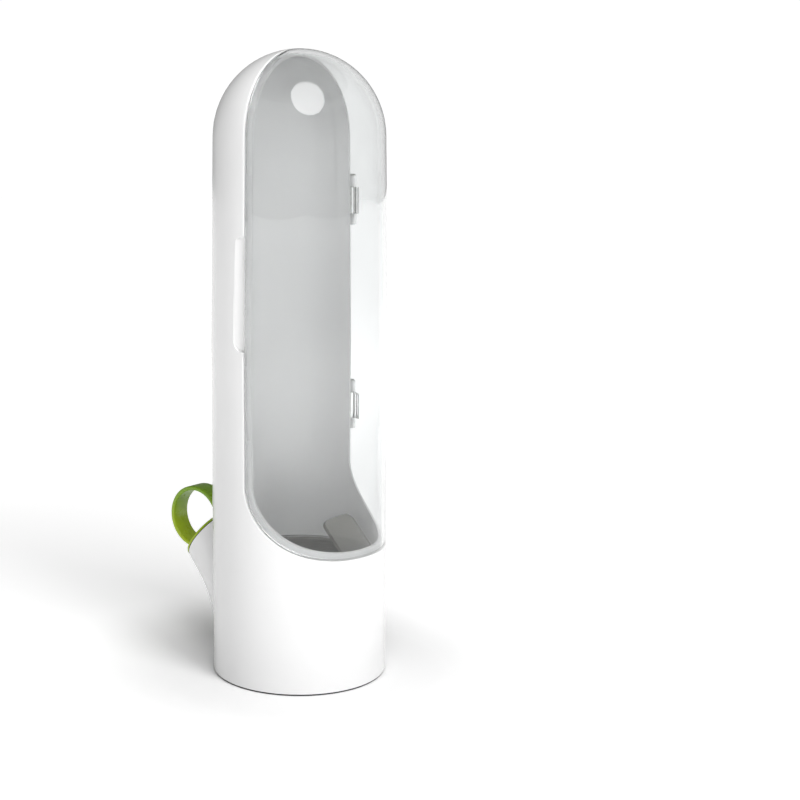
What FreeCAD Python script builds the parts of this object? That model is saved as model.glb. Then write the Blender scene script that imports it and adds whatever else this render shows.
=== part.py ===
import FreeCAD, Part
import math
import os

from FreeCAD import Vector

# Herb keeper: tall white shell with a hinged clear half-dome door, a filler spout with a ring-pull plug,
# a lift-out tray over a water reservoir, a welded base plate and a soft foot ring.
# Row frame: Z up, origin on the floor at the body's axis, door towards -Y, spout towards +Y, hinge at +X.
# Millimetres throughout.

os.makedirs("parts", exist_ok=True)

# Body profile, revolved about Z: a straight wall, a slight taper and a dome tangent to the taper
HEIGHT = 280.0
BASE_R = 39.65
TAPER_Z = 150.0
DOME_R = 38.05
WALL = 2.2
SEAM_TURN = 135.0

# Opening for the door, outlined in the YZ plane: the body's middle plane above, a quarter superellipse below
SPLIT_Y = 0.2
RIM_LOW_Z = 59.7
RIM_HIGH_Z = 92.1
RIM_POWER = 1.8

# Door and the inner lip that stands behind its edge
DOOR_T = 1.8
DOOR_GAP = 0.4
LIP_T = 1.2
LIP_REACH = 2.4
LIP_ROOT = 4.0
LIP_PLAY = 0.4
DETENT_R = 2.0
DETENT_RISE = 0.3
DETENT_Z = (112.0, 226.0)

# Hinge, on a vertical axis outside the wall
HINGE_STANDOFF = 2.8
KNUCKLE_R = 2.3
KNUCKLE_L = 12.0
EAR_L = 5.0
HINGE_Z = (118.0, 214.0)
HINGE_ENDPLAY = 0.3
PIN_R = 1.0
PIN_PLAY = 0.05
PIN_HEAD_R = 1.7
PIN_HEAD_T = 0.8
ARM_GAP = 0.35
ARM_SPAN = 7.0
ARM_BITE = 1.2
ARM_STEP = 0.2

# Finger scoop in the shell beside the door's free edge
SCOOP_W = 6.0
SCOOP_LOW_Z = 151.0
SCOOP_HIGH_Z = 200.0
SCOOP_DEPTH = 1.6
SCOOP_CORNER = 4.5

# Foot and base plate
FOOT_T = 0.8
FOOT_INSET = 0.3
FOOT_W = 7.65
PLATE_T = 2.2
PLATE_SKIRT_TOP = 7.0
PLATE_SKIRT_T = 1.4
PLATE_REBATE = 0.6
PLATE_PLAY = 0.05

# Tray and the ledge that it rests on
LEDGE_TOP = 52.0
LEDGE_LIP_T = 1.6
LEDGE_LOW = 46.0
LEDGE_W = 3.85
TRAY_T = 1.5
TRAY_PLAY = 1.55
TRAY_CUP_PLAY = 0.7
TRAY_FLANGE_T = 1.4
TRAY_FLOOR_Z = 44.0
HOLE_R = 5.0
HOLE_RINGS = ((0.0, 1), (19.0, 6))
TAB_W = 21.0
TAB_T = 1.5
TAB_BEND_Z = 58.5
TAB_LENGTH = 21.0
TAB_LEAN = 49.0
TAB_CORNER = 4.0
TAB_SINK = 0.2

# Spout: the outside is lofted through circles that follow a bent centre line in the YZ plane.
# Each step is its distance out from the wall, its height, its radius and its tilt.
MOUTH_REACH = 10.55
MOUTH_Z = 55.7
MOUTH_R = 16.1
MOUTH_TILT = 38.3
SPOUT_WALL = 2.0
SPOUT_STEPS = ((5.65, 49.3, 16.0, 50.0), (-0.75, 40.5, 16.0, 62.0), (-7.15, 26.0, 16.0, 80.0),
               (-11.65, 12.0, 15.5, 88.0), (-15.65, 4.0, 15.0, 90.0))
SOCKET_DEPTH = 3.2
PASSAGE_R = 12.0
PASSAGE_TOP = (7.85, 54.5)
PASSAGE_LOW = (-10.65, 14.0)

# Filler plug with its ring pull, and its sealing washer
SEAL_T = 0.4
SEAL_INSET = 0.25
FLANGE_T = 1.1
PLUG_PLAY = 0.35
PLUG_SKIRT_T = 1.5
PLUG_SKIRT_DEPTH = 2.8
RING_R = 15.0
RING_T = 2.0
RING_W = 10.0
RING_RISE = 11.9

# Overlaps: how far a cutter runs past what it cuts, and how far a joined piece sinks into its neighbour
CUT_PAST = 1.0
CUT_UNDER = 5.0
CUT_OVER = 20.0
CUT_WIDE = 30.0
SINK = 0.3
LEDGE_SINK = 0.8


def dome_centre():
    return HEIGHT - DOME_R


def taper_angle():
    """Lean of the upper wall that lets the dome leave it without a crease."""
    rise = dome_centre() - TAPER_Z
    far = math.hypot(BASE_R, rise)
    return math.acos(DOME_R / far) - math.atan2(rise, BASE_R)


def wall_r(z, offset=0.0):
    """Radius of the wall's inset profile at height z, below the dome."""
    return BASE_R - max(0.0, z - TAPER_Z) * math.tan(taper_angle()) - offset


def body_solid(offset, bottom):
    """The body's outside, inset by offset, filled from the height bottom up."""
    lean = taper_angle()
    radius = DOME_R - offset
    centre_z = dome_centre()
    foot = Vector(0, 0, bottom)
    low = Vector(BASE_R - offset, 0, bottom)
    waist = Vector(BASE_R - offset, 0, TAPER_Z)
    shoulder = Vector(radius * math.cos(lean), 0, centre_z + radius * math.sin(lean))
    middle = (lean + math.pi / 2.0) / 2.0
    halfway = Vector(radius * math.cos(middle), 0, centre_z + radius * math.sin(middle))
    top = Vector(0, 0, centre_z + radius)
    edges = [
        Part.makeLine(foot, low),
        Part.makeLine(low, waist),
        Part.makeLine(waist, shoulder),
        Part.Arc(shoulder, halfway, top).toShape(),
        Part.makeLine(top, foot),
    ]
    solid = Part.Face(Part.Wire(edges)).revolve(Vector(0, 0, 0), Vector(0, 0, 1), 360)
    solid.rotate(Vector(0, 0, 0), Vector(0, 0, 1), SEAM_TURN)
    return solid


def rim_point(angle, grow):
    """A point of the curved rim in the YZ plane, moved outwards from the opening by grow."""
    rise = RIM_HIGH_Z - RIM_LOW_Z
    along = math.sin(angle) ** (2.0 / RIM_POWER)
    down = math.cos(angle) ** (2.0 / RIM_POWER)
    slope_y = along ** (RIM_POWER - 1.0) / BASE_R
    slope_z = -(down ** (RIM_POWER - 1.0)) / rise
    length = math.hypot(slope_y, slope_z)
    y = -BASE_R + (BASE_R + SPLIT_Y) * along + grow * slope_y / length
    z = RIM_HIGH_Z - rise * down + grow * slope_z / length
    return Vector(0, y, z)


def opening(grow):
    """A wide block in the shape of the door's opening, grown all round by grow."""
    steps = 12
    points = [rim_point(math.pi / 2.0 * i / steps, grow) for i in range(steps + 1)]
    curve = Part.BSplineCurve()
    curve.interpolate(Points=points, InitialTangent=Vector(0, 1, 0), FinalTangent=Vector(0, 0, 1))
    far_y = -BASE_R - CUT_OVER
    far_z = HEIGHT + CUT_OVER
    corners = [
        points[-1],
        Vector(0, points[-1].y, far_z),
        Vector(0, far_y, far_z),
        Vector(0, far_y, points[0].z),
        points[0],
    ]
    edges = [curve.toShape()]
    for start, end in zip(corners, corners[1:]):
        edges.append(Part.makeLine(start, end))
    face = Part.Face(Part.Wire(edges))
    reach = BASE_R + CUT_WIDE
    face.translate(Vector(-reach, 0, 0))
    return face.extrude(Vector(2.0 * reach, 0, 0))


def spin(points):
    """A turned solid from a closed outline of (radius, height) pairs."""
    outline = [Vector(r, 0, z) for r, z in points]
    outline.append(outline[0])
    solid = Part.Face(Part.makePolygon(outline)).revolve(Vector(0, 0, 0), Vector(0, 0, 1), 360)
    solid.rotate(Vector(0, 0, 0), Vector(0, 0, 1), SEAM_TURN)
    return solid


def upright(points, low, high):
    """A prism between two heights from an outline of (x, y) pairs."""
    outline = [Vector(x, y, low) for x, y in points]
    outline.append(outline[0])
    return Part.Face(Part.makePolygon(outline)).extrude(Vector(0, 0, high - low))


def post(x, y, radius, low, high):
    return Part.makeCylinder(radius, high - low, Vector(x, y, low))


HINGE_X = BASE_R + HINGE_STANDOFF
TILT = math.radians(MOUTH_TILT)
MOUTH_OUT = Vector(0, math.cos(TILT), math.sin(TILT))
MOUTH = Vector(0, BASE_R + MOUTH_REACH, MOUTH_Z)
LEDGE_R = BASE_R - WALL - LEDGE_W
TRAY_R = BASE_R - WALL - TRAY_PLAY
LIP_OUT = DOOR_T + LIP_PLAY
LIP_IN = LIP_OUT + LIP_T


def hinge_arm(z, low, high, side):
    """A knuckle round the hinge axis with an arm to the wall; side is 1 on the shell and -1 on the door."""
    skin = wall_r(z)
    tip = math.sqrt(skin ** 2 - ARM_SPAN ** 2)
    near = side * ARM_GAP
    outline = [
        (HINGE_X, near),
        (HINGE_X, side * KNUCKLE_R),
        (tip + ARM_STEP, side * ARM_SPAN),
        (tip - ARM_BITE, side * ARM_SPAN),
        (skin - ARM_BITE, near),
    ]
    return post(HINGE_X, 0, KNUCKLE_R, low, high).fuse(upright(outline, low, high))


def ear_spans(z):
    reach = KNUCKLE_L / 2.0 + HINGE_ENDPLAY
    return ((z - reach - EAR_L, z - reach), (z + reach, z + reach + EAR_L))


def spout_outside():
    """The spout's loft, from the mouth plane to its root inside the body."""
    rings = [(MOUTH_REACH, MOUTH_Z, MOUTH_R, MOUTH_TILT)] + list(SPOUT_STEPS)
    wires = []
    for out, z, radius, tilt in rings:
        lean = math.radians(tilt)
        centre = Vector(0, BASE_R + out, z)
        circle = Part.Circle(centre, Vector(0, math.cos(lean), math.sin(lean)), radius)
        wires.append(Part.Wire([circle.toShape()]))
    return Part.makeLoft(wires, True, False)


def passage():
    """The straight water passage from the mouth's socket down into the reservoir."""
    top = Vector(0, BASE_R + PASSAGE_TOP[0], PASSAGE_TOP[1])
    run = Vector(0, BASE_R + PASSAGE_LOW[0], PASSAGE_LOW[1]) - top
    return Part.makeCylinder(PASSAGE_R, run.Length, top, run)


def along_mouth(radius, start, end):
    """A cylinder on the mouth's axis between two distances out from the mouth plane."""
    return Part.makeCylinder(radius, end - start, MOUTH + MOUTH_OUT * start, MOUTH_OUT)


def ring_shape(outer, inner, width):
    """A band whose axis is along X, centred over the mouth."""
    centre = MOUTH + MOUTH_OUT * RING_RISE + Vector(-width / 2.0, 0, 0)
    disc = Part.makeCylinder(outer, width, centre, Vector(1, 0, 0))
    return disc.cut(Part.makeCylinder(inner, width, centre, Vector(1, 0, 0)))


def detent(z):
    """A pip on the lip at the door's free edge, which the door's inner face clicks over."""
    middle_y = SPLIT_Y - (DOOR_GAP + LIP_REACH) / 2.0
    reach = wall_r(z, LIP_OUT) - DETENT_R + DETENT_RISE
    return Part.makeSphere(DETENT_R, Vector(-math.sqrt(reach ** 2 - middle_y ** 2), middle_y, z))


def make_shell():
    lip_band = opening(LIP_ROOT).cut(opening(-DOOR_GAP - LIP_REACH))
    shell = body_solid(0.0, FOOT_T).cut(opening(0.0))
    shell = shell.fuse(spout_outside())
    shell = shell.fuse(body_solid(LIP_OUT, FOOT_T).common(lip_band))
    for z in DETENT_Z:
        shell = shell.fuse(detent(z))
    for z in HINGE_Z:
        for low, high in ear_spans(z):
            shell = shell.fuse(hinge_arm(z, low, high, 1.0))
    shell = shell.cut(body_solid(WALL, -CUT_UNDER).cut(lip_band))
    shell = shell.cut(body_solid(LIP_IN, -CUT_UNDER))
    ledge = spin([
        (LEDGE_R, LEDGE_TOP),
        (LEDGE_R, LEDGE_TOP - LEDGE_LIP_T),
        (wall_r(LEDGE_LOW, WALL) + LEDGE_SINK, LEDGE_LOW),
        (wall_r(LEDGE_TOP, WALL) + LEDGE_SINK, LEDGE_TOP),
    ])
    shell = shell.fuse(ledge)
    reach = BASE_R + CUT_OVER
    above_ledge = Part.makeBox(2.0 * reach, 2.0 * reach, HEIGHT, Vector(-reach, -reach, LEDGE_LOW))
    kept_wall = body_solid(0.0, -CUT_UNDER).common(above_ledge)
    shell = shell.cut(passage().cut(kept_wall))
    shell = shell.cut(along_mouth(MOUTH_R - SPOUT_WALL, -SOCKET_DEPTH, CUT_PAST))
    seat_r = wall_r(FOOT_T, WALL) + PLATE_REBATE
    shell = shell.cut(post(0, 0, seat_r, -CUT_PAST, PLATE_SKIRT_TOP))
    for z in HINGE_Z:
        shell = shell.cut(post(HINGE_X, 0, PIN_R, z - CUT_WIDE, z + CUT_WIDE))
    return shell


def make_scoop():
    middle = (SCOOP_LOW_Z + SCOOP_HIGH_Z) / 2.0
    skin = wall_r(middle)
    fall = skin - math.sqrt(skin ** 2 - SCOOP_W ** 2)
    lead = (SCOOP_W ** 2 + fall ** 2 - SCOOP_DEPTH ** 2) / (2.0 * (SCOOP_DEPTH - fall))
    radius = lead + SCOOP_DEPTH
    groove = post(-skin - lead, 0, radius, SCOOP_LOW_Z, SCOOP_HIGH_Z)
    outline = Part.makeBox(
        2.0 * CUT_OVER, 2.0 * SCOOP_W, SCOOP_HIGH_Z - SCOOP_LOW_Z, Vector(-skin - CUT_OVER, -SCOOP_W, SCOOP_LOW_Z)
    )
    sides = [e for e in outline.Edges if abs(e.tangentAt(e.FirstParameter).x) > 0.9]
    return groove.common(outline.makeFillet(SCOOP_CORNER, sides))


def make_door():
    door = body_solid(0.0, FOOT_T).common(opening(-DOOR_GAP))
    for z in HINGE_Z:
        door = door.fuse(hinge_arm(z, z - KNUCKLE_L / 2.0, z + KNUCKLE_L / 2.0, -1.0))
    door = door.cut(body_solid(DOOR_T, -CUT_UNDER))
    for z in HINGE_Z:
        door = door.cut(post(HINGE_X, 0, PIN_R + PIN_PLAY, z - CUT_WIDE, z + CUT_WIDE))
    return door


def make_pin(z):
    spans = ear_spans(z)
    shank = post(HINGE_X, 0, PIN_R, spans[0][0], spans[1][1])
    return shank.fuse(post(HINGE_X, 0, PIN_HEAD_R, spans[1][1], spans[1][1] + PIN_HEAD_T))


def make_base_plate():
    seat_r = wall_r(FOOT_T, WALL) + PLATE_REBATE - PLATE_PLAY
    plate = post(0, 0, seat_r, FOOT_T, PLATE_SKIRT_TOP)
    return plate.cut(post(0, 0, seat_r - PLATE_SKIRT_T, FOOT_T + PLATE_T, PLATE_SKIRT_TOP + CUT_PAST))


def make_foot_ring():
    ring = post(0, 0, BASE_R - FOOT_INSET, 0.0, FOOT_T)
    return ring.cut(post(0, 0, BASE_R - FOOT_W, -CUT_PAST, FOOT_T + CUT_PAST))


def make_tray():
    cup_r = LEDGE_R - TRAY_CUP_PLAY
    flange_top = LEDGE_TOP + TRAY_FLANGE_T
    tray = post(0, 0, cup_r, TRAY_FLOOR_Z, flange_top)
    tray = tray.fuse(post(0, 0, TRAY_R, LEDGE_TOP, flange_top))
    tray = tray.cut(post(0, 0, cup_r - TRAY_T, TRAY_FLOOR_Z + TRAY_T, flange_top + CUT_PAST))
    for ring_r, count in HOLE_RINGS:
        for i in range(count):
            turn = 2.0 * math.pi * i / count
            x = ring_r * math.cos(turn)
            y = ring_r * math.sin(turn)
            tray = tray.cut(post(x, y, HOLE_R, TRAY_FLOOR_Z - CUT_PAST, TRAY_FLOOR_Z + TRAY_T + CUT_PAST))
    front = -math.sqrt(TRAY_R ** 2 - (TAB_W / 2.0) ** 2)
    lean = math.radians(TAB_LEAN)
    run = Vector(0, math.cos(lean), math.sin(lean))
    side = Vector(0, math.sin(lean), -math.cos(lean))
    bend = Vector(-TAB_W / 2.0, front, TAB_BEND_Z)
    slope = [
        bend,
        bend + run * TAB_LENGTH,
        bend + run * TAB_LENGTH + side * TAB_T,
        bend + Vector(0, TAB_T, -TAB_T * (1.0 - math.sin(lean)) / math.cos(lean)),
        Vector(-TAB_W / 2.0, front + TAB_T, LEDGE_TOP + TAB_SINK),
        Vector(-TAB_W / 2.0, front, LEDGE_TOP + TAB_SINK),
    ]
    slope.append(slope[0])
    tab = Part.Face(Part.makePolygon(slope)).extrude(Vector(TAB_W, 0, 0))
    tip = bend + run * TAB_LENGTH
    ends = []
    for edge in tab.Edges:
        middle = edge.valueAt((edge.FirstParameter + edge.LastParameter) / 2.0)
        short = abs(edge.Length - TAB_T) < 0.01
        if short and abs(middle.z - tip.z) < TAB_T and abs(middle.y - tip.y) < TAB_T:
            ends.append(edge)
    tab = tab.makeFillet(TAB_CORNER, ends)
    return tray.fuse(tab)


def make_plug():
    skirt_r = MOUTH_R - SPOUT_WALL - PLUG_PLAY
    plug = along_mouth(MOUTH_R, SEAL_T, SEAL_T + FLANGE_T)
    plug = plug.fuse(along_mouth(skirt_r, -PLUG_SKIRT_DEPTH, SEAL_T + SINK))
    plug = plug.cut(along_mouth(skirt_r - PLUG_SKIRT_T, -PLUG_SKIRT_DEPTH - CUT_PAST, SEAL_T))
    ring = ring_shape(RING_R, RING_R - RING_T, RING_W)
    ring = ring.common(along_mouth(MOUTH_R, SEAL_T + SINK, RING_RISE + RING_R + CUT_PAST))
    return plug.fuse(ring)


def make_plug_seal():
    skirt_r = MOUTH_R - SPOUT_WALL - PLUG_PLAY
    seal = along_mouth(MOUTH_R - SEAL_INSET, 0.0, SEAL_T)
    return seal.cut(along_mouth(skirt_r, -CUT_PAST, SEAL_T + CUT_PAST))


parts = {
    "shell": make_shell().cut(make_scoop()),
    "base_plate": make_base_plate(),
    "foot_ring": make_foot_ring(),
    "door": make_door(),
    "hinge_pin_lower": make_pin(HINGE_Z[0]),
    "hinge_pin_upper": make_pin(HINGE_Z[1]),
    "tray": make_tray(),
    "plug": make_plug(),
    "plug_seal": make_plug_seal(),
}

for name, shape in parts.items():
    shape = shape.removeSplitter()
    solids = shape.Solids
    print(name, "valid", shape.isValid(), "solids", len(solids), "volume", round(shape.Volume, 1), shape.BoundBox)
    if len(solids) != 1:
        raise ValueError(name + " isn't one solid: " + str([round(s.Volume, 2) for s in solids]))
    solids[0].exportStep("parts/" + name + ".step")
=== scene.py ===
import math

import bmesh
import bpy
from bpy.props import FloatProperty, FloatVectorProperty, PointerProperty
from mathutils import Matrix, Vector
from mathutils.kdtree import KDTree


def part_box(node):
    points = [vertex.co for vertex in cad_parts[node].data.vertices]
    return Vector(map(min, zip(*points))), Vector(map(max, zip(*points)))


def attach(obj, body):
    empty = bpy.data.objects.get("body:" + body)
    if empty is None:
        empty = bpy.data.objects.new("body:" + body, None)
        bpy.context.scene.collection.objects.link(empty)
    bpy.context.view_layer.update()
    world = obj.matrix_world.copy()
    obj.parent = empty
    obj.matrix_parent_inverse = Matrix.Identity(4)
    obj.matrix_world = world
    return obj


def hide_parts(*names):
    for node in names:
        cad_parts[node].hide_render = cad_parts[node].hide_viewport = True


# Herb keeper: looks of the shell, the clear door, the tray, the green plug with its ring pull, the hinge
# pins, the base plate and the foot ring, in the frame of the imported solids. Metres, Z up, the floor at zero.

bl_info = {
    "name": "Herb keeper",
    "version": (1, 0, 0),
    "blender": (4, 5, 0),
    "location": "3D View > Sidebar > Herb keeper",
    "description": "Builds the herb keeper's pieces, finishes and studio round its solids",
    "category": "Object",
}

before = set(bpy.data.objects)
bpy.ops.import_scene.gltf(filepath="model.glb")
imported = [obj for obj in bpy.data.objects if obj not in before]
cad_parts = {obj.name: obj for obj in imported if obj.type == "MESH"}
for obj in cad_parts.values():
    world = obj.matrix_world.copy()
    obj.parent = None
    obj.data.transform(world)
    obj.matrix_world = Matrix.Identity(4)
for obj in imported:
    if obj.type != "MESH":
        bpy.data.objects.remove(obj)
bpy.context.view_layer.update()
SHELL_LOW, SHELL_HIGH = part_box("shell")
FOOT_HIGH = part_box("foot_ring")[1]
MM = 0.001

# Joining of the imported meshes' triangles, and the turns at which an edge counts as flat, smooth or sharp
MERGE_GAP = 0.002 * MM
FLAT_TURN = math.radians(0.3)
SMOOTH_TURN = math.radians(32)
SHARP_TURN = math.radians(40)

# Rounded rim: where its edges are looked for, and how far a corner may slide as a multiple of its width
RIM_BACK = 1.0 * MM
RIM_LOW = 20.0 * MM
POLE_CLEAR = 3.0 * MM
ON_SURFACE = 0.08 * MM
SLIDE_LIMIT = 1.6
RIM_STEPS = 3
DOOR_STEPS = 2

# Turned surface: the walls' depth below it, and how closely a face follows its direction
AXIS_NEAR = 1e-7
OUTSIDE_PLAY = 0.05 * MM
SHELL_DEPTH = 4.5 * MM
DOOR_DEPTH = 2.0 * MM
SAME_FACING = 0.985

# Turned pieces
TURN_STEPS = 96
SEAM_GAP = 0.001 * MM

# Ring pull: its rounding as a multiple of the plug's, and its foot's place in the flange's thickness
RING_ROUND = 1.2
RING_STEPS = 4
RING_FOOT = 0.6

# Foot ring and hinge pins
FOOT_BORE = 32.0 * MM
FOOT_ROUND = 0.25 * MM
PIN_RADIUS = 1.0 * MM
PIN_HEAD = 0.8 * MM
PIN_CROWN = 0.4 * MM
PIN_CHAMFER = 0.2 * MM
CROWN_STEPS = 5

# Textures: the middle range of a noise, the band in which two tones blend, and the height of the grain
NOISE_LOW = 0.3
NOISE_HIGH = 0.7
TONE_LOW = 0.35
TONE_HIGH = 0.65
GRAIN_HEIGHT = 0.05 * MM

# Green plastic: the heights between which painted shade darkens it towards the top of the ring, and the tone
# that it is multiplied by at the top
PAINTED_SHADE_LOW = 0.052
PAINTED_SHADE_HIGH = 0.078
PAINTED_SHADE_TONE = (0.50, 0.72, 1.0, 1.0)

# Studio: the paper floor and its glow round the axis, the wall, and the two lamps
WHITE = (1, 1, 1, 1)
BLACK = (0, 0, 0, 1)
FLOOR_REACH = 12.0
FLOOR_COLOUR = (0.93, 0.93, 0.93)
GLOW_START = 0.045
GLOW_TURN = 0.13
GLOW_END = 1.0
WALL_DISTANCE = 9.0
KEY_PLACE = (-0.25, -1.0, 0.80)
KEY_TARGET = (0, 0, 0.12)
KEY_SIZE = 0.45
ROUND_PLACE = (-0.477, -0.62, 1.196)
ROUND_TARGET = (0, 0, 0.242)
ROUND_WIDTH = 0.86
ROUND_HEIGHT = 1.07
SENSOR_WIDTH = 36.0
CLIP_START = 0.01


class KeeperBodySizes(bpy.types.PropertyGroup):
    """Sizes of the white shell and the clear door"""

    dome_radius: FloatProperty(
        name="Dome radius",
        description="Outer radius of the dome",
        default=0.03805,
        subtype="DISTANCE",
        unit="LENGTH",
    )
    taper_height: FloatProperty(
        name="Taper height",
        description="Height at which the straight wall starts to lean in",
        default=0.150,
        subtype="DISTANCE",
        unit="LENGTH",
    )
    rim_round: FloatProperty(
        name="Rim rounding",
        description="Width of the rounded edge along the door opening",
        default=0.0007,
        subtype="DISTANCE",
        unit="LENGTH",
    )
    door_round: FloatProperty(
        name="Door edge rounding",
        description="Width of the rounded edge of the door",
        default=0.0004,
        subtype="DISTANCE",
        unit="LENGTH",
    )
    hinge_clear: FloatProperty(
        name="Hinge zone",
        description="Distance from the hinge side within which edges stay as they are",
        default=0.004,
        subtype="DISTANCE",
        unit="LENGTH",
    )


class KeeperPlugSizes(bpy.types.PropertyGroup):
    """Sizes of the filler plug, its ring pull and its seal"""

    mouth_y: FloatProperty(
        name="Mouth Y",
        description="Distance of the mouth's centre behind the body's axis",
        default=0.0502,
        subtype="DISTANCE",
        unit="LENGTH",
    )
    mouth_z: FloatProperty(
        name="Mouth Z",
        description="Height of the mouth's centre",
        default=0.0557,
        subtype="DISTANCE",
        unit="LENGTH",
    )
    mouth_tilt: FloatProperty(
        name="Mouth tilt",
        description="Angle of the mouth's axis above the horizon",
        default=math.radians(38.3),
        subtype="ANGLE",
        unit="ROTATION",
    )
    mouth_radius: FloatProperty(
        name="Mouth radius",
        description="Outer radius of the spout at its mouth and of the plug's flange",
        default=0.0161,
        subtype="DISTANCE",
        unit="LENGTH",
    )
    skirt_radius: FloatProperty(
        name="Skirt radius",
        description="Outer radius of the plug's skirt",
        default=0.01375,
        subtype="DISTANCE",
        unit="LENGTH",
    )
    skirt_wall: FloatProperty(
        name="Skirt wall",
        description="Wall of the plug's skirt",
        default=0.0015,
        subtype="DISTANCE",
        unit="LENGTH",
    )
    skirt_depth: FloatProperty(
        name="Skirt depth",
        description="Depth of the plug's skirt below the mouth",
        default=0.0028,
        subtype="DISTANCE",
        unit="LENGTH",
    )
    seal_thickness: FloatProperty(
        name="Seal thickness",
        description="Thickness of the sealing washer",
        default=0.0004,
        subtype="DISTANCE",
        unit="LENGTH",
    )
    seal_inset: FloatProperty(
        name="Seal inset",
        description="Distance of the seal's edge inside the mouth's edge",
        default=0.00002,
        subtype="DISTANCE",
        unit="LENGTH",
    )
    flange_thickness: FloatProperty(
        name="Flange thickness",
        description="Thickness of the plug's flange",
        default=0.0011,
        subtype="DISTANCE",
        unit="LENGTH",
    )
    ring_radius: FloatProperty(
        name="Ring radius",
        description="Outer radius of the ring pull",
        default=0.015,
        subtype="DISTANCE",
        unit="LENGTH",
    )
    ring_thickness: FloatProperty(
        name="Ring thickness",
        description="Thickness of the ring pull's band",
        default=0.002,
        subtype="DISTANCE",
        unit="LENGTH",
    )
    ring_width: FloatProperty(
        name="Ring width",
        description="Width of the ring pull's band",
        default=0.010,
        subtype="DISTANCE",
        unit="LENGTH",
    )
    ring_rise: FloatProperty(
        name="Ring rise",
        description="Distance of the ring pull's centre out from the mouth",
        default=0.0119,
        subtype="DISTANCE",
        unit="LENGTH",
    )
    edge_round: FloatProperty(
        name="Edge rounding",
        description="Width of the rounded edges of the plug and its ring",
        default=0.0005,
        subtype="DISTANCE",
        unit="LENGTH",
    )


class KeeperColours(bpy.types.PropertyGroup):
    """Colours of the keeper's plastics, seal, steel and foot"""

    white_plastic: FloatVectorProperty(
        name="White plastic",
        description="Glossy shell",
        default=(0.82, 0.82, 0.82),
        subtype="COLOR",
        size=3,
        min=0.0,
        max=1.0,
    )
    base_plastic: FloatVectorProperty(
        name="Base plastic",
        description="Satin base plate",
        default=(0.74, 0.74, 0.73),
        subtype="COLOR",
        size=3,
        min=0.0,
        max=1.0,
    )
    clear_plastic: FloatVectorProperty(
        name="Clear plastic",
        description="Clear door",
        default=(0.93, 0.94, 0.94),
        subtype="COLOR",
        size=3,
        min=0.0,
        max=1.0,
    )
    smoky_plastic: FloatVectorProperty(
        name="Smoky plastic",
        description="Tray and its lifting tab",
        default=(0.42, 0.41, 0.36),
        subtype="COLOR",
        size=3,
        min=0.0,
        max=1.0,
    )
    green_plastic: FloatVectorProperty(
        name="Green plastic",
        description="Plug and its ring pull",
        default=(0.38, 0.50, 0.008),
        subtype="COLOR",
        size=3,
        min=0.0,
        max=1.0,
    )
    seal_rubber_and_gap_shade: FloatVectorProperty(
        name="Seal rubber",
        description="Sealing washer under the plug's flange",
        default=(0.012, 0.020, 0.004),
        subtype="COLOR",
        size=3,
        min=0.0,
        max=1.0,
    )
    foot_rubber_and_base_shade: FloatVectorProperty(
        name="Foot rubber",
        description="Soft foot ring",
        default=(0.035, 0.035, 0.035),
        subtype="COLOR",
        size=3,
        min=0.0,
        max=1.0,
    )
    pin_steel: FloatVectorProperty(
        name="Pin steel",
        description="Hinge pins",
        default=(0.62, 0.62, 0.60),
        subtype="COLOR",
        size=3,
        min=0.0,
        max=1.0,
    )


class KeeperStageSizes(bpy.types.PropertyGroup):
    """Camera and light of the studio"""

    camera_turn: FloatProperty(
        name="Camera turn",
        description="Direction of the camera round the keeper, from the door's side",
        default=math.radians(-53.02),
        subtype="ANGLE",
        unit="ROTATION",
    )
    camera_pitch: FloatProperty(
        name="Camera pitch",
        description="Angle that the camera looks down",
        default=math.radians(9.33),
        subtype="ANGLE",
        unit="ROTATION",
    )
    camera_distance: FloatProperty(
        name="Camera distance",
        description="Level distance from the keeper's axis to the camera",
        default=0.640,
        subtype="DISTANCE",
        unit="LENGTH",
    )
    camera_height: FloatProperty(
        name="Camera height",
        description="Height of the camera above the floor",
        default=0.23044,
        subtype="DISTANCE",
        unit="LENGTH",
    )
    camera_lens: FloatProperty(
        name="Lens", description="Focal length on a sensor 36 mm wide, in millimetres", default=64.60
    )
    camera_shift: FloatProperty(
        name="Sideways shift", description="Shift of the picture as a share of its width", default=0.1257
    )
    key_power: FloatProperty(
        name="Key light", description="Power of the key light on the right", default=6.6, unit="POWER"
    )
    round_power: FloatProperty(
        name="Round light",
        description="Power of the round light overhead that shines on the dome",
        default=11.0,
        unit="POWER",
    )
    sky: FloatProperty(name="Sky", description="Strength of the even light from all round", default=0.24)
    backdrop: FloatProperty(
        name="Backdrop", description="Brightness of the studio wall round the keeper", default=1.02
    )
    near_glow: FloatProperty(
        name="Near glow", description="Brightness added to the paper floor round the keeper", default=0.38
    )
    far_glow: FloatProperty(
        name="Far glow", description="Brightness added to the paper floor far from the keeper", default=0.5
    )


def sizes():
    return bpy.context.scene.keeper_body


def plug_sizes():
    return bpy.context.scene.keeper_plug


def colours():
    return bpy.context.scene.keeper_colours


def new_piece(name, mesh, body, material, nodes):
    """Links a finished mesh as a piece that rides on a body and stands for the named nodes."""
    piece = bpy.data.objects.new(name, mesh)
    bpy.context.scene.collection.objects.link(piece)
    mesh.materials.clear()
    mesh.materials.append(material)
    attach(piece, body)
    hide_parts(*nodes)


def mesh_from(bm, name):
    """Writes a bmesh out, smooth but for the edges that turn sharply."""
    mesh = bpy.data.meshes.new(name)
    for face in bm.faces:
        face.smooth = True
    for edge in bm.edges:
        turn = edge.calc_face_angle(0.0) if len(edge.link_faces) == 2 else 0.0
        edge.smooth = turn < SMOOTH_TURN
    bm.to_mesh(mesh)
    bm.free()
    return mesh


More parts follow.
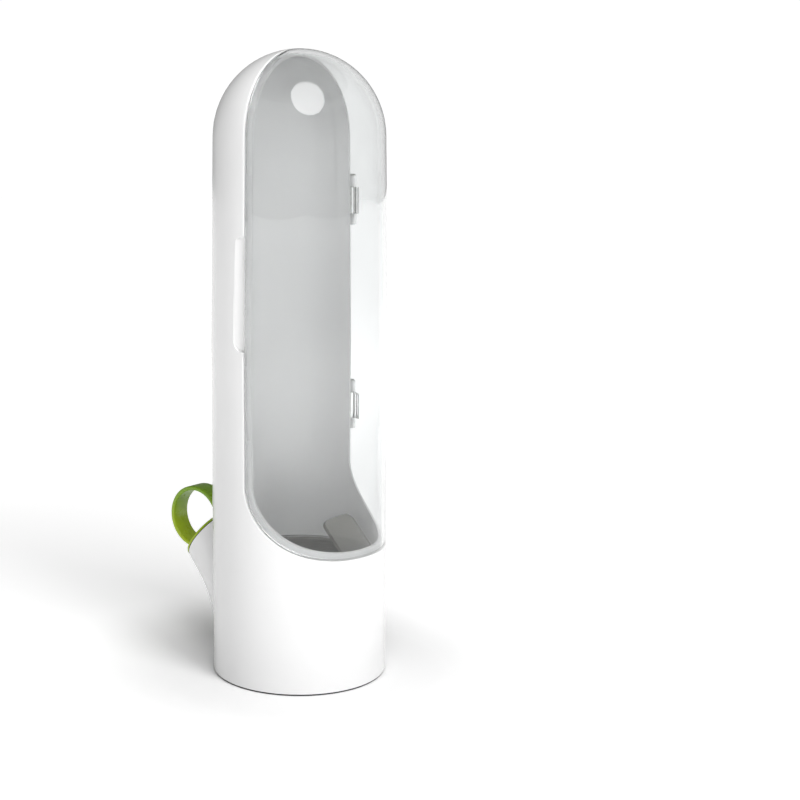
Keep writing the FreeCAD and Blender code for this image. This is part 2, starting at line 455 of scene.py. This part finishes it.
def merged_copy(node):
    """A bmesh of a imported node's mesh with its loose triangles joined."""
    bm = bmesh.new()
    bm.from_mesh(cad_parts[node].data)
    bmesh.ops.remove_doubles(bm, verts=bm.verts, dist=MERGE_GAP)
    bmesh.ops.dissolve_limit(
        bm, angle_limit=FLAT_TURN, verts=bm.verts, edges=bm.edges, use_dissolve_boundaries=False
    )
    return bm


def round_edges(bm, edges, width, segments):
    """Rounds the edges, and draws back any corner that slid too far along the mesh for that width."""
    corners = {vert.index: vert.co.copy() for edge in edges for vert in edge.verts}
    old = KDTree(len(corners))
    for index, place in corners.items():
        old.insert(place, index)
    old.balance()
    rounded = bmesh.ops.bevel(
        bm,
        geom=edges,
        offset=width,
        offset_type="OFFSET",
        affect="EDGES",
        segments=segments,
        profile=0.5,
        clamp_overlap=False,
        material=-1,
    )
    for vert in rounded["verts"]:
        place, _, gap = old.find(vert.co)
        if gap > SLIDE_LIMIT * width:
            vert.co = place + (vert.co - place).normalized() * width
    return rounded["verts"]


def dome_centre():
    return SHELL_HIGH.z - sizes().dome_radius


def wall_lean():
    """Lean of the upper wall, which runs into the dome without a crease."""
    rise = dome_centre() - sizes().taper_height
    far = math.hypot(-SHELL_LOW.x, rise)
    return math.acos(sizes().dome_radius / far) - math.atan2(rise, -SHELL_LOW.x)


def depth_and_normal(point):
    """Depth of a point under the body's outer surface, and the direction that the surface shows there."""
    lean = wall_lean()
    across = math.hypot(point.x, point.y)
    if across < AXIS_NEAR:
        return sizes().dome_radius - (point.z - dome_centre()), Vector((0, 0, 1))
    out = Vector((point.x / across, point.y / across, 0))
    centre = Vector((0, 0, dome_centre()))
    from_centre = point - centre
    if from_centre.z > math.tan(lean) * across:
        return sizes().dome_radius - from_centre.length, from_centre.normalized()
    if point.z <= sizes().taper_height:
        return -SHELL_LOW.x - across, out
    square = out * math.cos(lean) + Vector((0, 0, math.sin(lean)))
    taper_top = dome_centre() + sizes().dome_radius * math.sin(lean)
    # The shown lean grows evenly with height, so long and short triangles of the taper agree
    shown = lean * (point.z - sizes().taper_height) / (taper_top - sizes().taper_height)
    normal = out * math.cos(shown) + Vector((0, 0, math.sin(shown)))
    return sizes().dome_radius - from_centre.dot(square), normal


def hold_inside(verts):
    """Brings rounded corners that stand outside the turned surface back onto it."""
    for vert in verts:
        depth, normal = depth_and_normal(vert.co)
        if depth < 0.0:
            vert.co += normal * depth


def true_normals(mesh, deepest):
    """Gives the walls the directions of the turned surface, so that the gloss runs over them evenly."""
    normals = [corner.vector.copy() for corner in mesh.corner_normals]
    for polygon in mesh.polygons:
        for loop in polygon.loop_indices:
            depth, normal = depth_and_normal(mesh.vertices[mesh.loops[loop].vertex_index].co)
            facing = polygon.normal.dot(normal)
            if -OUTSIDE_PLAY < depth < deepest and abs(facing) > SAME_FACING:
                normals[loop] = normal if facing > 0 else -normal
    mesh.normals_split_custom_set(normals)


def is_rim_edge(edge):
    """True for a sharp edge on the outer surface along the door opening."""
    if len(edge.link_faces) != 2 or edge.calc_face_angle(0.0) < SHARP_TURN:
        return False
    middle = (edge.verts[0].co + edge.verts[1].co) / 2
    if middle.y > RIM_BACK or middle.z < RIM_LOW:
        return False
    if middle.x > -SHELL_LOW.x - sizes().hinge_clear or middle.xy.length < POLE_CLEAR:
        return False
    return all(abs(depth_and_normal(vert.co)[0]) < ON_SURFACE for vert in edge.verts)


def rimmed_copy(node, width, segments):
    """A joined copy of a moulding's mesh with its edge along the door opening rounded."""
    bm = merged_copy(node)
    rim = [edge for edge in bm.edges if is_rim_edge(edge)]
    if not rim:
        raise RuntimeError(f"the {node} has no rim edges to round")
    hold_inside(round_edges(bm, rim, width, segments))
    return bm


def surface_noise(nodes, links, scale, detail):
    """A noise texture on the piece's own coordinates."""
    place = nodes.new("ShaderNodeTexCoord")
    noise = nodes.new("ShaderNodeTexNoise")
    noise.inputs["Scale"].default_value = scale
    noise.inputs["Detail"].default_value = detail
    links.new(place.outputs["Object"], noise.inputs["Vector"])
    return noise


def spread(nodes, links, source, low, high):
    """Maps a noise's middle range to the range from low to high."""
    span = nodes.new("ShaderNodeMapRange")
    span.inputs["From Min"].default_value = NOISE_LOW
    span.inputs["From Max"].default_value = NOISE_HIGH
    span.inputs["To Min"].default_value = low
    span.inputs["To Max"].default_value = high
    links.new(source, span.inputs["Value"])
    return span.outputs["Result"]


def plastic(name, colour, roughness, patch=40.0, grain=1800.0, shade=0.97, bump=0.02, rough_spread=0.06):
    """A moulded plastic: a faint patchy tone, uneven gloss and a fine moulded grain."""
    material = bpy.data.materials.new(name)
    material.use_nodes = True
    nodes = material.node_tree.nodes
    links = material.node_tree.links
    shader = nodes["Principled BSDF"]
    patches = surface_noise(nodes, links, patch, 3.0)
    ramp = nodes.new("ShaderNodeValToRGB")
    ramp.color_ramp.elements[0].position = TONE_LOW
    ramp.color_ramp.elements[0].color = (*[shade * c for c in colour], 1.0)
    ramp.color_ramp.elements[1].position = TONE_HIGH
    ramp.color_ramp.elements[1].color = (*colour, 1.0)
    links.new(patches.outputs["Fac"], ramp.inputs["Fac"])
    links.new(ramp.outputs["Color"], shader.inputs["Base Color"])
    gloss = surface_noise(nodes, links, patch * 3.0, 4.0)
    smoothest = max(0.0, roughness - rough_spread)
    rough = spread(nodes, links, gloss.outputs["Fac"], smoothest, roughness + rough_spread)
    links.new(rough, shader.inputs["Roughness"])
    fine = surface_noise(nodes, links, grain, 2.0)
    relief = nodes.new("ShaderNodeBump")
    relief.inputs["Strength"].default_value = bump
    relief.inputs["Distance"].default_value = GRAIN_HEIGHT
    links.new(fine.outputs["Fac"], relief.inputs["Height"])
    links.new(relief.outputs["Normal"], shader.inputs["Normal"])
    return material, shader


def white_plastic():
    material, shader = plastic(
        "white_plastic", colours().white_plastic, roughness=0.24, patch=30.0, shade=0.99, bump=0.01,
        rough_spread=0.012,
    )
    shader.inputs["Coat Weight"].default_value = 0.35
    shader.inputs["Coat Roughness"].default_value = 0.08
    return material


def base_plastic():
    return plastic("base_plastic", colours().base_plastic, roughness=0.42, grain=2500.0, bump=0.06)[0]


def clear_plastic():
    material, shader = plastic(
        "clear_plastic", colours().clear_plastic, roughness=0.025, patch=25.0, grain=60.0, bump=0.005,
        rough_spread=0.01,
    )
    shader.inputs["Transmission Weight"].default_value = 1.0
    shader.inputs["IOR"].default_value = 1.42
    shader.inputs["Coat Weight"].default_value = 0.2
    return material


def smoky_plastic():
    material, shader = plastic(
        "smoky_plastic", colours().smoky_plastic, roughness=0.12, patch=50.0, grain=400.0, shade=0.85,
        bump=0.04,
    )
    shader.inputs["Transmission Weight"].default_value = 0.85
    shader.inputs["IOR"].default_value = 1.49
    return material


def green_plastic():
    """Translucent green with painted shade: multiplied darker and deeper towards the top of the ring, its own
    yellower green below.
    """
    material, shader = plastic(
        "green_plastic", colours().green_plastic, roughness=0.30, patch=90.0, shade=0.93, bump=0.03
    )
    nodes = material.node_tree.nodes
    links = material.node_tree.links
    place = nodes.new("ShaderNodeTexCoord")
    split = nodes.new("ShaderNodeSeparateXYZ")
    links.new(place.outputs["Object"], split.inputs[0])
    # Painted shade: the green is darkened with height towards the top of the ring
    rise = nodes.new("ShaderNodeMapRange")
    rise.interpolation_type = "SMOOTHSTEP"
    rise.inputs["From Min"].default_value = PAINTED_SHADE_LOW
    rise.inputs["From Max"].default_value = PAINTED_SHADE_HIGH
    links.new(split.outputs["Z"], rise.inputs["Value"])
    painted_shade = nodes.new("ShaderNodeMix")
    painted_shade.data_type = "RGBA"
    painted_shade.blend_type = "MULTIPLY"
    painted_shade.inputs["B"].default_value = PAINTED_SHADE_TONE
    tone = shader.inputs["Base Color"].links[0].from_socket
    links.new(rise.outputs["Result"], painted_shade.inputs["Factor"])
    links.new(tone, painted_shade.inputs["A"])
    links.new(painted_shade.outputs["Result"], shader.inputs["Base Color"])
    return material


# Painted shade: the seal's near-black rubber, brought out to the mouth's edge, also draws the shadow gap under
# the plug's flange
def seal_rubber_and_gap_shade():
    return plastic(
        "seal_rubber_and_gap_shade", colours().seal_rubber_and_gap_shade, roughness=0.55, patch=300.0, shade=0.8, bump=0.15
    )[0]


# Painted shade: the foot's near-black rubber also stands in for the shadow line along the bottom edge of the
# body
def foot_rubber_and_base_shade():
    return plastic(
        "foot_rubber_and_base_shade", colours().foot_rubber_and_base_shade, roughness=0.7, patch=120.0, shade=0.75, grain=3000.0, bump=0.4
    )[0]


def pin_steel():
    """Bright steel wire with an uneven tone and a fine grain."""
    material, shader = plastic(
        "pin_steel", colours().pin_steel, roughness=0.3, patch=400.0, shade=0.85, bump=0.05
    )
    shader.inputs["Metallic"].default_value = 1.0
    return material


class KEEPER_OT_shell(bpy.types.Operator):
    """Make the white shell with its rounded rim"""

    bl_idname = "keeper.shell"
    bl_label = "Shell"

    def execute(self, context):
        mesh = mesh_from(rimmed_copy("shell", sizes().rim_round, RIM_STEPS), "shell_moulding")
        true_normals(mesh, SHELL_DEPTH)
        new_piece("shell_moulding", mesh, "body", white_plastic(), ["shell"])
        return {"FINISHED"}


class KEEPER_OT_door(bpy.types.Operator):
    """Make the clear door with its rounded edge"""

    bl_idname = "keeper.door"
    bl_label = "Door"

    def execute(self, context):
        mesh = mesh_from(rimmed_copy("door", sizes().door_round, DOOR_STEPS), "door_moulding")
        true_normals(mesh, DOOR_DEPTH)
        new_piece("door_moulding", mesh, "door", clear_plastic(), ["door"])
        return {"FINISHED"}


def turned(outline, axis_place):
    """A closed turned piece from an outline of (radius, height) pairs that may start and end on the axis."""
    bm = bmesh.new()
    corners = [bm.verts.new((r, 0, z)) for r, z in outline]
    edges = [bm.edges.new(pair) for pair in zip(corners, corners[1:])]
    if outline[0][0] > 0 and outline[-1][0] > 0:
        edges.append(bm.edges.new((corners[-1], corners[0])))
    bmesh.ops.spin(
        bm,
        geom=corners + edges,
        cent=(0, 0, 0),
        axis=(0, 0, 1),
        angle=2 * math.pi,
        steps=TURN_STEPS,
        use_merge=True,
        use_duplicate=False,
    )
    bmesh.ops.remove_doubles(bm, verts=bm.verts, dist=SEAM_GAP)
    bmesh.ops.recalc_face_normals(bm, faces=bm.faces)
    bmesh.ops.transform(bm, matrix=axis_place, verts=bm.verts)
    return bm


def quarter(radius, height, size, start, steps=4):
    """Points of a quarter round about (radius, height), from the angle start on, clockwise."""
    points = []
    for i in range(steps + 1):
        angle = start - math.pi / 2 * i / steps
        points.append((radius + size * math.cos(angle), height + size * math.sin(angle)))
    return points


def mouth_place():
    """Turns a piece made about Z so that it stands on the mouth's axis."""
    p = plug_sizes()
    out = Vector((0, math.cos(p.mouth_tilt), math.sin(p.mouth_tilt)))
    side = Vector((1, 0, 0))
    up = out.cross(side)
    place = Matrix((side, up, out)).transposed().to_4x4()
    place.translation = Vector((0, p.mouth_y, p.mouth_z))
    return place


class KEEPER_OT_plug(bpy.types.Operator):
    """Make the green plug, its ring pull and the seal"""

    bl_idname = "keeper.plug"
    bl_label = "Plug"

    def execute(self, context):
        p = plug_sizes()
        green = green_plastic()
        top = p.seal_thickness + p.flange_thickness
        edge = p.edge_round
        inner = p.skirt_radius - p.skirt_wall
        outline = [(0, top)]
        outline += quarter(p.mouth_radius - edge, top - edge, edge, math.pi / 2)
        outline += quarter(p.mouth_radius - edge / 2, p.seal_thickness + edge / 2, edge / 2, 0.0)
        outline += [(p.skirt_radius, p.seal_thickness)]
        outline += quarter(p.skirt_radius - edge, -p.skirt_depth + edge, edge, 0.0)
        outline += [(inner, -p.skirt_depth), (inner, p.seal_thickness), (0, p.seal_thickness)]
        bm = turned(outline, mouth_place())
        new_piece("plug_flange", mesh_from(bm, "plug_flange"), "plug", green, ["plug"])
        ring = self.ring(p)
        new_piece("plug_ring", mesh_from(ring, "plug_ring"), "plug", green, ["plug"])
        # The seal reaches almost to the mouth's edge so that its dark colour shows as the painted shadow gap
        seal_r = p.mouth_radius - p.seal_inset
        lip = p.seal_thickness / 2
        outline = [(p.skirt_radius, 0), (p.skirt_radius, p.seal_thickness)]
        outline += quarter(seal_r - lip, lip, lip, math.pi / 2)
        outline += quarter(seal_r - lip, lip, lip, 0.0)
        bm = turned(outline, mouth_place())
        seal = mesh_from(bm, "seal_washer")
        new_piece("seal_washer", seal, "plug", seal_rubber_and_gap_shade(), ["plug_seal"])
        return {"FINISHED"}

    def ring(self, p):
        """The ring's band, turned about X over the mouth and cut off just inside the flange."""
        bm = bmesh.new()
        half = p.ring_width / 2
        inner = p.ring_radius - p.ring_thickness
        outline = ((-half, inner), (half, inner), (half, p.ring_radius), (-half, p.ring_radius))
        corners = [bm.verts.new((x, 0, r)) for x, r in outline]
        edges = [bm.edges.new(pair) for pair in zip(corners, corners[1:] + corners[:1])]
        bmesh.ops.spin(
            bm,
            geom=corners + edges,
            cent=(0, 0, 0),
            axis=(1, 0, 0),
            angle=2 * math.pi,
            steps=TURN_STEPS,
            use_merge=True,
            use_duplicate=False,
        )
        bmesh.ops.remove_doubles(bm, verts=bm.verts, dist=SEAM_GAP)
        bmesh.ops.recalc_face_normals(bm, faces=bm.faces)
        sharp = [edge for edge in bm.edges if edge.calc_face_angle(0.0) > SHARP_TURN]
        round_edges(bm, sharp, p.edge_round * RING_ROUND, RING_STEPS)
        bmesh.ops.translate(bm, vec=(0, 0, p.ring_rise), verts=bm.verts)
        floor = p.seal_thickness + p.flange_thickness * RING_FOOT
        cut = bmesh.ops.bisect_plane(
            bm,
            geom=bm.verts[:] + bm.edges[:] + bm.faces[:],
            plane_co=(0, 0, floor),
            plane_no=(0, 0, -1),
            clear_outer=True,
        )
        open_edges = [item for item in cut["geom_cut"] if isinstance(item, bmesh.types.BMEdge)]
        bmesh.ops.holes_fill(bm, edges=open_edges, sides=0)
        bmesh.ops.transform(bm, matrix=mouth_place(), verts=bm.verts)
        return bm


class KEEPER_OT_tray(bpy.types.Operator):
    """Make the smoky tray with its lifting tab"""

    bl_idname = "keeper.tray"
    bl_label = "Tray"

    def execute(self, context):
        mesh = mesh_from(merged_copy("tray"), "tray_moulding")
        new_piece("tray_moulding", mesh, "tray", smoky_plastic(), ["tray"])
        return {"FINISHED"}


class KEEPER_OT_base(bpy.types.Operator):
    """Make the soft foot ring, whose dark rubber also draws the painted shadow line along the base, and finish
    the base plate
    """

    bl_idname = "keeper.base"
    bl_label = "Base"

    def execute(self, context):
        outer = FOOT_HIGH.x
        thick = FOOT_HIGH.z
        outline = quarter(outer - FOOT_ROUND, thick - FOOT_ROUND, FOOT_ROUND, math.pi / 2)
        outline += quarter(outer - FOOT_ROUND, FOOT_ROUND, FOOT_ROUND, 0.0)
        outline += [(FOOT_BORE, 0), (FOOT_BORE, thick)]
        bm = turned(outline, Matrix.Identity(4))
        new_piece("foot_band", mesh_from(bm, "foot_band"), "body", foot_rubber_and_base_shade(), ["foot_ring"])
        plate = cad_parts["base_plate"]
        plate.data.materials.clear()
        plate.data.materials.append(base_plastic())
        return {"FINISHED"}


class KEEPER_OT_pins(bpy.types.Operator):
    """Make the two steel hinge pins with domed heads"""

    bl_idname = "keeper.pins"
    bl_label = "Hinge pins"

    def execute(self, context):
        steel = pin_steel()
        for name in ("hinge_pin_lower", "hinge_pin_upper"):
            low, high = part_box(name)
            head = (high.x - low.x) / 2
            neck = high.z - PIN_HEAD
            outline = [(0, low.z), (PIN_RADIUS - PIN_CHAMFER, low.z), (PIN_RADIUS, low.z + PIN_CHAMFER)]
            outline += [(PIN_RADIUS, neck), (head, neck), (head, high.z - PIN_CROWN)]
            for i in range(1, CROWN_STEPS + 1):
                angle = math.pi / 2 * i / CROWN_STEPS
                outline.append((head * math.cos(angle), high.z - PIN_CROWN + PIN_CROWN * math.sin(angle)))
            outline[-1] = (0, high.z)
            place = Matrix.Translation(((low.x + high.x) / 2, 0, 0))
            bm = turned(outline, place)
            new_piece(name + "_steel", mesh_from(bm, name + "_steel"), "body", steel, [name])
        return {"FINISHED"}


class KEEPER_OT_stage(bpy.types.Operator):
    """Set the floor, the lights and the camera"""

    bl_idname = "keeper.stage"
    bl_label = "Stage"

    def execute(self, context):
        stage = context.scene.keeper_stage
        context.scene.view_settings.view_transform = "Standard"
        self.floor(stage)
        self.world(stage)
        self.wall(stage)
        self.light("key", KEY_PLACE, KEY_TARGET, KEY_SIZE, stage.key_power)
        self.light("round", ROUND_PLACE, ROUND_TARGET, ROUND_WIDTH, stage.round_power, ROUND_HEIGHT)
        self.camera(stage)
        return {"FINISHED"}

    def floor(self, stage):
        """White paper, lit by the lamps near the keeper, with painted light: a glow that rises with the
        distance from the keeper's axis and makes it evenly bright far from it.
        """
        bm = bmesh.new()
        bmesh.ops.create_grid(bm, x_segments=4, y_segments=4, size=FLOOR_REACH)
        mesh = mesh_from(bm, "floor")
        floor = bpy.data.objects.new("floor", mesh)
        bpy.context.scene.collection.objects.link(floor)
        material, shader = plastic(
            "paper", FLOOR_COLOUR, roughness=0.8, patch=3.0, grain=500.0, shade=0.995, bump=0.01
        )
        shader.inputs["Specular IOR Level"].default_value = 0.1
        nodes = material.node_tree.nodes
        links = material.node_tree.links
        place = nodes.new("ShaderNodeTexCoord")
        away = nodes.new("ShaderNodeVectorMath")
        away.operation = "LENGTH"
        links.new(place.outputs["Object"], away.inputs[0])
        distance = away.outputs["Value"]
        near = self.ramp_up(nodes, links, distance, GLOW_START, GLOW_TURN, stage.near_glow)
        far = self.ramp_up(nodes, links, distance, GLOW_TURN, GLOW_END, stage.far_glow)
        glow = nodes.new("ShaderNodeMath")
        links.new(near, glow.inputs[0])
        links.new(far, glow.inputs[1])
        shader.inputs["Emission Color"].default_value = WHITE
        links.new(glow.outputs["Value"], shader.inputs["Emission Strength"])
        mesh.materials.append(material)

    def ramp_up(self, nodes, links, distance, start, end, top):
        """A brightness that rises smoothly with the distance from the keeper's axis."""
        rise = nodes.new("ShaderNodeMapRange")
        rise.interpolation_type = "SMOOTHSTEP"
        rise.inputs["From Min"].default_value = start
        rise.inputs["From Max"].default_value = end
        rise.inputs["To Max"].default_value = top
        links.new(distance, rise.inputs["Value"])
        return rise.outputs["Result"]

    def world(self, stage):
        """Even soft light from all round."""
        world = bpy.data.worlds.new("studio")
        world.use_nodes = True
        background = world.node_tree.nodes["Background"]
        background.inputs["Color"].default_value = WHITE
        background.inputs["Strength"].default_value = stage.sky
        bpy.context.scene.world = world

    def wall(self, stage):
        """A bright round wall, seen directly and through clear plastic, but not mirrored in shiny parts."""
        bm = bmesh.new()
        bmesh.ops.create_cone(
            bm,
            cap_ends=False,
            segments=TURN_STEPS,
            radius1=WALL_DISTANCE,
            radius2=WALL_DISTANCE,
            depth=2 * WALL_DISTANCE,
        )
        wall = bpy.data.objects.new("wall", mesh_from(bm, "wall"))
        bpy.context.scene.collection.objects.link(wall)
        material = bpy.data.materials.new("wall_paper")
        material.use_nodes = True
        shader = material.node_tree.nodes["Principled BSDF"]
        shader.inputs["Base Color"].default_value = BLACK
        shader.inputs["Specular IOR Level"].default_value = 0.0
        shader.inputs["Emission Color"].default_value = WHITE
        shader.inputs["Emission Strength"].default_value = stage.backdrop
        wall.data.materials.append(material)
        wall.visible_diffuse = False
        wall.visible_glossy = False
        wall.visible_shadow = False

    def light(self, name, place, target, size, power, height=0.0):
        """A square lamp that isn't mirrored, or an oval one that is, where a height is given."""
        data = bpy.data.lights.new(name, "AREA")
        data.shape = "ELLIPSE" if height else "SQUARE"
        data.size = size
        if height:
            data.size_y = height
        data.energy = power
        lamp = bpy.data.objects.new(name, data)
        bpy.context.scene.collection.objects.link(lamp)
        lamp.location = place
        lamp.visible_glossy = height > 0
        lamp.visible_transmission = height > 0
        lamp.rotation_euler = (Vector(target) - Vector(place)).to_track_quat("-Z", "Y").to_euler()

    def camera(self, stage):
        data = bpy.data.cameras.new("camera")
        data.sensor_width = SENSOR_WIDTH
        data.lens = stage.camera_lens
        data.shift_x = stage.camera_shift
        data.clip_start = CLIP_START
        camera = bpy.data.objects.new("camera", data)
        bpy.context.scene.collection.objects.link(camera)
        turn = stage.camera_turn
        camera.location = (
            stage.camera_distance * math.sin(turn),
            -stage.camera_distance * math.cos(turn),
            stage.camera_height,
        )
        camera.rotation_euler = (math.pi / 2 - stage.camera_pitch, 0, turn)
        bpy.context.scene.camera = camera


class KEEPER_PT_panel(bpy.types.Panel):
    """Sizes, colours and steps of the herb keeper"""

    bl_idname = "KEEPER_PT_panel"
    bl_label = "Herb keeper"
    bl_space_type = "VIEW_3D"
    bl_region_type = "UI"
    bl_category = "Herb keeper"

    def draw(self, context):
        scene = context.scene
        for group in (scene.keeper_body, scene.keeper_plug, scene.keeper_colours, scene.keeper_stage):
            box = self.layout.box()
            for key in group.__annotations__:
                box.prop(group, key)
        for step in STEPS:
            self.layout.operator(step.bl_idname)


STEPS = (
    KEEPER_OT_shell,
    KEEPER_OT_door,
    KEEPER_OT_plug,
    KEEPER_OT_tray,
    KEEPER_OT_base,
    KEEPER_OT_pins,
    KEEPER_OT_stage,
)
GROUPS = (KeeperBodySizes, KeeperPlugSizes, KeeperColours, KeeperStageSizes)


def register():
    for group in GROUPS + STEPS + (KEEPER_PT_panel,):
        bpy.utils.register_class(group)
    bpy.types.Scene.keeper_body = PointerProperty(type=KeeperBodySizes)
    bpy.types.Scene.keeper_plug = PointerProperty(type=KeeperPlugSizes)
    bpy.types.Scene.keeper_colours = PointerProperty(type=KeeperColours)
    bpy.types.Scene.keeper_stage = PointerProperty(type=KeeperStageSizes)


def unregister():
    for name in ("keeper_body", "keeper_plug", "keeper_colours", "keeper_stage"):
        delattr(bpy.types.Scene, name)
    for group in reversed(GROUPS + STEPS + (KEEPER_PT_panel,)):
        bpy.utils.unregister_class(group)


def main():
    register()
    bpy.ops.keeper.shell()
    bpy.ops.keeper.door()
    bpy.ops.keeper.plug()
    bpy.ops.keeper.tray()
    bpy.ops.keeper.base()
    bpy.ops.keeper.pins()
    bpy.ops.keeper.stage()


if __name__ == "__main__":
    main()
